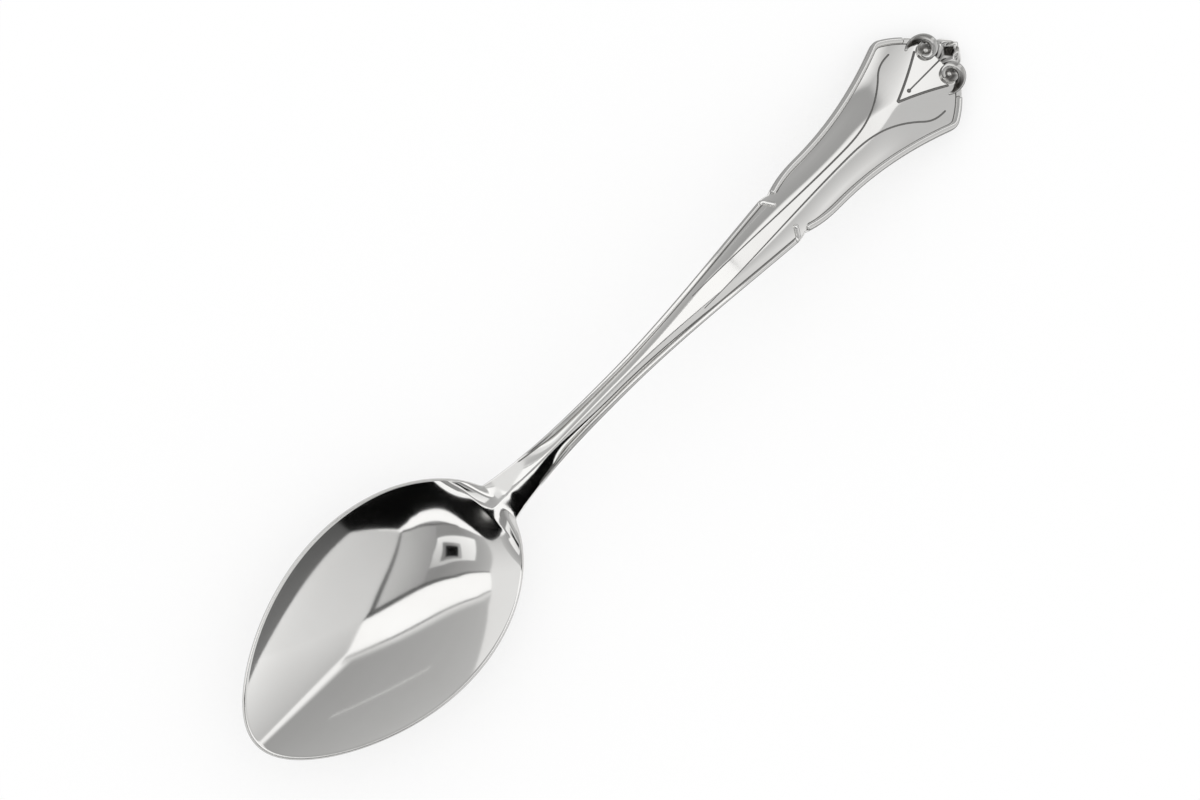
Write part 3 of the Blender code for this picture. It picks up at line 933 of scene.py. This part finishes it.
def polish_marks_and_painted_shade():
    """Shared node group: slow wear, fine hairlines and a tint that painted shade darkens towards near black.
    """
    group = bpy.data.node_groups.new("polish_marks_and_painted_shade", "ShaderNodeTree")
    for name, way, kind in (
        ("Roughness", "INPUT", "NodeSocketFloat"),
        ("Wear", "INPUT", "NodeSocketFloat"),
        ("Painted Shade", "INPUT", "NodeSocketFloat"),
        ("Roughness", "OUTPUT", "NodeSocketFloat"),
        ("Hairlines", "OUTPUT", "NodeSocketFloat"),
        ("Tint", "OUTPUT", "NodeSocketColor"),
    ):
        group.interface.new_socket(name, in_out=way, socket_type=kind)
    nodes = group.nodes
    links = group.links
    given = new_node(nodes, "NodeGroupInput")
    result = new_node(nodes, "NodeGroupOutput")
    place = new_node(nodes, "ShaderNodeTexCoord")
    stretch = new_node(nodes, "ShaderNodeMapping", {"Scale": HAIRLINE_STRETCH, "Rotation": HAIRLINE_TURN})
    hair = new_node(nodes, "ShaderNodeTexNoise", {"Scale": 1.0, "Detail": HAIRLINE_DETAIL})
    clouds = new_node(nodes, "ShaderNodeTexNoise", {"Scale": WEAR_SCALE, "Detail": WEAR_DETAIL})
    worn = new_node(nodes, "ShaderNodeMath", operation="MULTIPLY")
    rough = new_node(nodes, "ShaderNodeMath", operation="ADD")
    tint = new_node(nodes, "ShaderNodeMix", {"A": BRIGHT_SILVER, "B": WORN_SILVER}, data_type="RGBA")
    # painted shade: mixes the worn silver tint towards near black by the shade input
    dark = new_node(nodes, "ShaderNodeMix", {"B": PAINTED_SHADE_SILVER}, data_type="RGBA")
    links.new(place.outputs["Object"], stretch.inputs["Vector"])
    links.new(stretch.outputs["Vector"], hair.inputs["Vector"])
    links.new(place.outputs["Object"], clouds.inputs["Vector"])
    links.new(clouds.outputs["Fac"], worn.inputs[0])
    links.new(given.outputs["Wear"], worn.inputs[1])
    links.new(given.outputs["Roughness"], rough.inputs[0])
    links.new(worn.outputs["Value"], rough.inputs[1])
    links.new(clouds.outputs["Fac"], tint.inputs["Factor"])
    links.new(given.outputs["Painted Shade"], dark.inputs["Factor"])
    links.new(tint.outputs["Result"], dark.inputs["A"])
    links.new(rough.outputs["Value"], result.inputs["Roughness"])
    links.new(hair.outputs["Fac"], result.inputs["Hairlines"])
    links.new(dark.outputs["Result"], result.inputs["Tint"])
    return group


def silver(name, marks, roughness, wear, painted_shade=None):
    """Silver with its wear and hairlines, darkened by painted shade evenly or as the piece's own
    painted-shade layer says.
    """
    material = bpy.data.materials.new(name)
    material.use_nodes = True
    nodes = material.node_tree.nodes
    links = material.node_tree.links
    shader = nodes["Principled BSDF"]
    shader.inputs["Metallic"].default_value = 1.0
    group = new_node(nodes, "ShaderNodeGroup", {"Roughness": roughness, "Wear": wear}, node_tree=marks)
    scratched = {"Strength": HAIRLINE_STRENGTH, "Distance": HAIRLINE_DEPTH}
    bump = new_node(nodes, "ShaderNodeBump", scratched)
    if painted_shade is None:
        layer = new_node(nodes, "ShaderNodeAttribute", attribute_name="painted_shade")
        links.new(layer.outputs["Fac"], group.inputs["Painted Shade"])
    else:
        group.inputs["Painted Shade"].default_value = painted_shade
    links.new(group.outputs["Tint"], shader.inputs["Base Color"])
    links.new(group.outputs["Roughness"], shader.inputs["Roughness"])
    links.new(group.outputs["Hairlines"], bump.inputs["Height"])
    links.new(bump.outputs["Normal"], shader.inputs["Normal"])
    return material


def dress():
    """Makes the pieces, puts them on the frame and gives them their finish."""
    marks = polish_marks_and_painted_shade()
    plain = silver("polished_silver", marks, POLISHED_ROUGHNESS, POLISHED_WEAR)
    relief = silver("relief_silver", marks, RELIEF_ROUGHNESS, RELIEF_WEAR)
    # the lines carry an even painted shade that darkens them
    lines = silver("line_silver", marks, LINE_ROUGHNESS, LINE_WEAR, LINE_PAINTED_SHADE)
    skin = spoon_skin()
    pieces = [
        (split_skin(skin, "bowl_skin", lambda at: at < JOINT_AT), "bowl", plain),
        (split_skin(skin, "handle_skin", lambda at: at > JOINT_AT), "handle", plain),
    ]
    skin.free()
    for side, mirror in (("left", 1), ("right", -1)):
        pieces += [
            (band(side + "_lower_bead", lower_thread_path(), mirror), side + "_lower_thread", relief),
            (band(side + "_upper_bead", upper_thread_path(), mirror), side + "_upper_thread", relief),
            (band(side + "_scroll_bead", scroll_path(), mirror, leaf=True), side + "_scroll", relief),
            (bead(side + "_lower_line", lower_line_path(), mirror), side + "_lower_thread", lines),
            (bead(side + "_upper_line", upper_line_path(), mirror), side + "_upper_thread", lines),
            (scroll_eye(side + "_scroll_eye_bead", mirror), side + "_scroll", relief),
            (bead(side + "_fan_bead", fan_path(), mirror), "handle", lines),
            (bead(side + "_rib_bead", rib_path(), mirror), "handle", lines),
        ]
    pieces.append((bead("vein_bead", vein_path(), 1), "handle", lines))
    pieces.append((crest_bud(), "crest_bud", relief))
    for piece, node, finish in pieces:
        piece.data.materials.append(finish)
        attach(piece, "root")
        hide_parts(node)


# Camera
CAMERA_ELEVATION = math.radians(80.0)
CAMERA_DISTANCE = 700.0 * MM
CAMERA_AIM = Vector((-5.2 * MM, 0.15 * MM, 10.0 * MM))
CAMERA_LENS = 120.1
CAMERA_SENSOR = 36.0
CAMERA_ROLL = math.radians(45.13)


def camera():
    """Looks down on the spoon from beyond the bowl's tip, rolled so that the spoon lies on the diagonal."""
    data = bpy.data.cameras.new("camera")
    data.lens = CAMERA_LENS
    data.sensor_width = CAMERA_SENSOR
    data.sensor_fit = "HORIZONTAL"
    view = bpy.data.objects.new("camera", data)
    bpy.context.scene.collection.objects.link(view)
    back = Vector((-math.cos(CAMERA_ELEVATION), 0.0, math.sin(CAMERA_ELEVATION)))
    along = Vector((math.sin(CAMERA_ELEVATION), 0.0, math.cos(CAMERA_ELEVATION)))
    across = back.cross(along)
    right = along * math.cos(CAMERA_ROLL) - across * math.sin(CAMERA_ROLL)
    up = along * math.sin(CAMERA_ROLL) + across * math.cos(CAMERA_ROLL)
    axes = Matrix((right, up, back)).transposed().to_4x4()
    view.matrix_world = Matrix.Translation(CAMERA_AIM + back * CAMERA_DISTANCE) @ axes
    bpy.context.scene.camera = view


# Soft light tent that the metal mirrors
BLACK = 0.002
BRIGHT = 1.05
CARD_CELLS = 8
TENT_TURN = Matrix.Rotation(-CAMERA_ROLL, 4, "Z")


def even(grey):
    """The same grey at all four corners of a card."""
    return (grey, grey, grey, grey)


# Cards of the tent in mm: height, greys of the corners, and the corners' places to the right and to the back
TENT = [
    ("back_wall", 462, (0.34, 0.56, 0.52, 0.49), (150, 150), (9000, 8700), (-6500, 9500), (-850, 330)),
    ("right_wall", 462, (0.68, 0.5, 0.6, 0.95), (130, 0), (150, 150), (1250, 1190), (1950, -250)),
    ("right_wall_front", 462, (0.68, 0.88, 0.68, 0.55), (130, 0), (1950, -250), (1230, -1120), (280, -505)),
    ("far_line", 461, even(0.05), (1220, 1160), (1950, -250), (2090, -260), (1300, 1240)),
    ("far_line_front", 461, even(0.05), (1950, -250), (1230, -1120), (1310, -1190), (2090, -260)),
    ("far_right", 463, even(0.22), (1250, 1190), (9000, 8600), (12000, 0), (1950, -250)),
    ("far_right_front", 463, (0.2, 0.2, 0.05, 0.1), (1950, -250), (12000, 0), (9000, -8000), (1230, -1120)),
    ("left_wall", 462, (0.8, 0.8, 0.85, 0.85), (-755, 50), (-850, 330), (-6500, 9500), (-13000, 0)),
    ("left_wall_front", 462, (0.8, 0.5, 0.5, 0.55),
     (-755, 50), (-13000, 0), (-13000, -11200), (-1507, -1130)),
    ("opening", 461, even(BLACK), (300, -540), (1230, -1120), (9000, -8000), (0, -13000)),
    ("opening_left", 461, even(BLACK), (300, -700), (0, -13000), (-13000, -11200), (-261, -950)),
    ("opening_far", 461.2, even(BLACK), (-1250, -2100), (-13000, -11900), (-13000, -3000), (-1530, -1180)),
    ("opening_corner", 461.5, even(BLACK), (-100, -900), (-1800, -2500), (-2000, -1300), (-1250, -1260)),
    ("front_light", 460, even(BRIGHT), (0, -500), (300, -505), (350, -560), (217, -765)),
    ("front_light_middle", 460, even(BRIGHT), (0, -500), (217, -765), (-261, -950), (-463, -680)),
    ("front_light_left", 460, even(BRIGHT), (-463, -680), (-261, -950), (-1250, -1290), (-1330, -1200)),
    ("roof", 458, (0.27, 0.31, 0.31, 0.27), (-463, -690), (290, -505), (140, 0), (-74, 48)),
    ("roof_left", 458, (0.5, 0.27, 0.27, 0.5), (-1507, -1130), (-463, -690), (-74, 48), (-755, 55)),
    ("roof_light", 457, (0.34, 0.5, 0.6, 0.34), (-40, -500), (285, -505), (138, 0), (-40, 25)),
    ("roof_edge", 456, (0.06, 0.06, 0.12, 0.12), (160, -14), (165, 12), (-755, 62), (-755, 46)),
    ("roof_side", 456, (0.06, 0.06, 0.2, 0.2), (130, 0), (152, 5), (306, -505), (284, -505)),
    ("roof_front", 456, even(0.12), (290, -494), (290, -526), (-20, -526), (0, -494)),
    ("roof_front_left", 456, even(0.12), (0, -494), (-20, -526), (-463, -714), (-463, -676)),
    ("back_light", 455, even(BRIGHT), (165, 12), (150, 150), (-850, 340), (-755, 60)),
    ("back_line", 454, (0.3, 0.3, 0.1, 0.1), (150, 150), (152, 162), (-850, 356), (-850, 338)),
    ("back_band", 455, (0.9, 0.5, 0.5, 0.9), (152, 160), (150, 182), (-900, 445), (-850, 352)),
    ("back_streak", 454, even(0.9), (45, 610), (45, 620), (-463, 754), (-463, 740)),
    ("hole_frame", 453, (0.5, 0.9, 1.0, 0.9), (-43, -80), (-484, -106), (-765, -595), (-54, -323)),
    ("hole_rim", 452.5, (0.2, 0.4, 0.4, 0.2), (-105, -275), (-320, -300), (-300, -112), (-112, -115)),
    ("hole", 452, even(BLACK), (-135, -240), (-277, -255), (-258, -133), (-140, -138)),
    ("corner_light", 455.5, (1.0, 0.95, 0.95, 1.0), (145, 135), (645, 635), (617, 663), (118, 162)),
    ("corner_fade", 455.5, (1.0, 0.95, 0.4, 0.4), (118, 162), (617, 663), (590, 690), (92, 188)),
    ("corner_fade_right", 455.5, (1.0, 0.95, 0.5, 0.5), (145, 135), (645, 635), (657, 623), (157, 123)),
]


def card(name, height, greys, corners):
    """A level card of the tent that only the metal sees, shaded from corner to corner."""
    mesh = bmesh.new()
    bmesh.ops.create_grid(mesh, x_segments=CARD_CELLS, y_segments=CARD_CELLS, size=0.5)
    shade = mesh.verts.layers.float.new("shade")
    for vert in mesh.verts:
        x = vert.co.x + 0.5
        y = vert.co.y + 0.5
        shares = ((1 - x) * (1 - y), x * (1 - y), x * y, (1 - x) * y)
        vert[shade] = sum(share * grey for share, grey in zip(shares, greys))
        right = sum(share * corner[0] for share, corner in zip(shares, corners))
        back = sum(share * corner[1] for share, corner in zip(shares, corners))
        vert.co = (right, back, height)
    bmesh.ops.transform(mesh, verts=mesh.verts, matrix=Matrix.Scale(MM, 4) @ TENT_TURN)
    piece = finished(name, mesh)
    piece.visible_camera = False
    piece.visible_diffuse = False
    piece.visible_shadow = False
    piece.visible_transmission = False
    return piece


def tent():
    """Roof with its hole, lights and edges, the walls and the dark open front."""
    material = bpy.data.materials.new("tent_cloth")
    material.use_nodes = True
    material.cycles.emission_sampling = "NONE"
    nodes = material.node_tree.nodes
    nodes.remove(nodes["Principled BSDF"])
    links = material.node_tree.links
    glow = new_node(nodes, "ShaderNodeEmission")
    shade = new_node(nodes, "ShaderNodeAttribute", attribute_name="shade")
    links.new(shade.outputs["Color"], glow.inputs["Color"])
    links.new(glow.outputs["Emission"], nodes["Material Output"].inputs["Surface"])
    for name, height, greys, *corners in TENT:
        piece = card(name, height, greys, corners)
        piece.data.materials.append(material)


# Table and room
TABLE_SIZE = 4.0
TABLE_GREY = (0.4, 0.4, 0.4, 1.0)
TABLE_GLOW = 0.6
WHITE = (1.0, 1.0, 1.0, 1.0)


def table():
    """White table that keeps the spoon's soft shadow."""
    mesh = bmesh.new()
    bmesh.ops.create_grid(mesh, x_segments=1, y_segments=1, size=TABLE_SIZE)
    floor = finished("table", mesh)
    material = bpy.data.materials.new("table_white")
    material.use_nodes = True
    nodes = material.node_tree.nodes
    links = material.node_tree.links
    shader = nodes["Principled BSDF"]
    shader.inputs["Base Color"].default_value = TABLE_GREY
    shader.inputs["Roughness"].default_value = 1.0
    shader.inputs["Specular IOR Level"].default_value = 0.0
    shader.inputs["Emission Color"].default_value = WHITE
    path = new_node(nodes, "ShaderNodeLightPath")
    seen = new_node(nodes, "ShaderNodeMath", operation="ADD")
    mirrored = new_node(nodes, "ShaderNodeMath", operation="ADD")
    glow = new_node(nodes, "ShaderNodeMath", {1: TABLE_GLOW}, operation="MULTIPLY")
    links.new(path.outputs["Is Camera Ray"], seen.inputs[0])
    links.new(path.outputs["Is Glossy Ray"], seen.inputs[1])
    links.new(seen.outputs["Value"], mirrored.inputs[0])
    links.new(path.outputs["Is Transmission Ray"], mirrored.inputs[1])
    links.new(mirrored.outputs["Value"], glow.inputs[0])
    links.new(glow.outputs["Value"], shader.inputs["Emission Strength"])
    floor.data.materials.append(material)


def room():
    """Even white light from all round."""
    world = bpy.data.worlds.new("studio")
    world.use_nodes = True
    world.node_tree.nodes["Background"].inputs["Color"].default_value = WHITE
    bpy.context.scene.world = world


dress()
camera()
tent()
table()
room()
bpy.context.scene.view_settings.view_transform = "Standard"
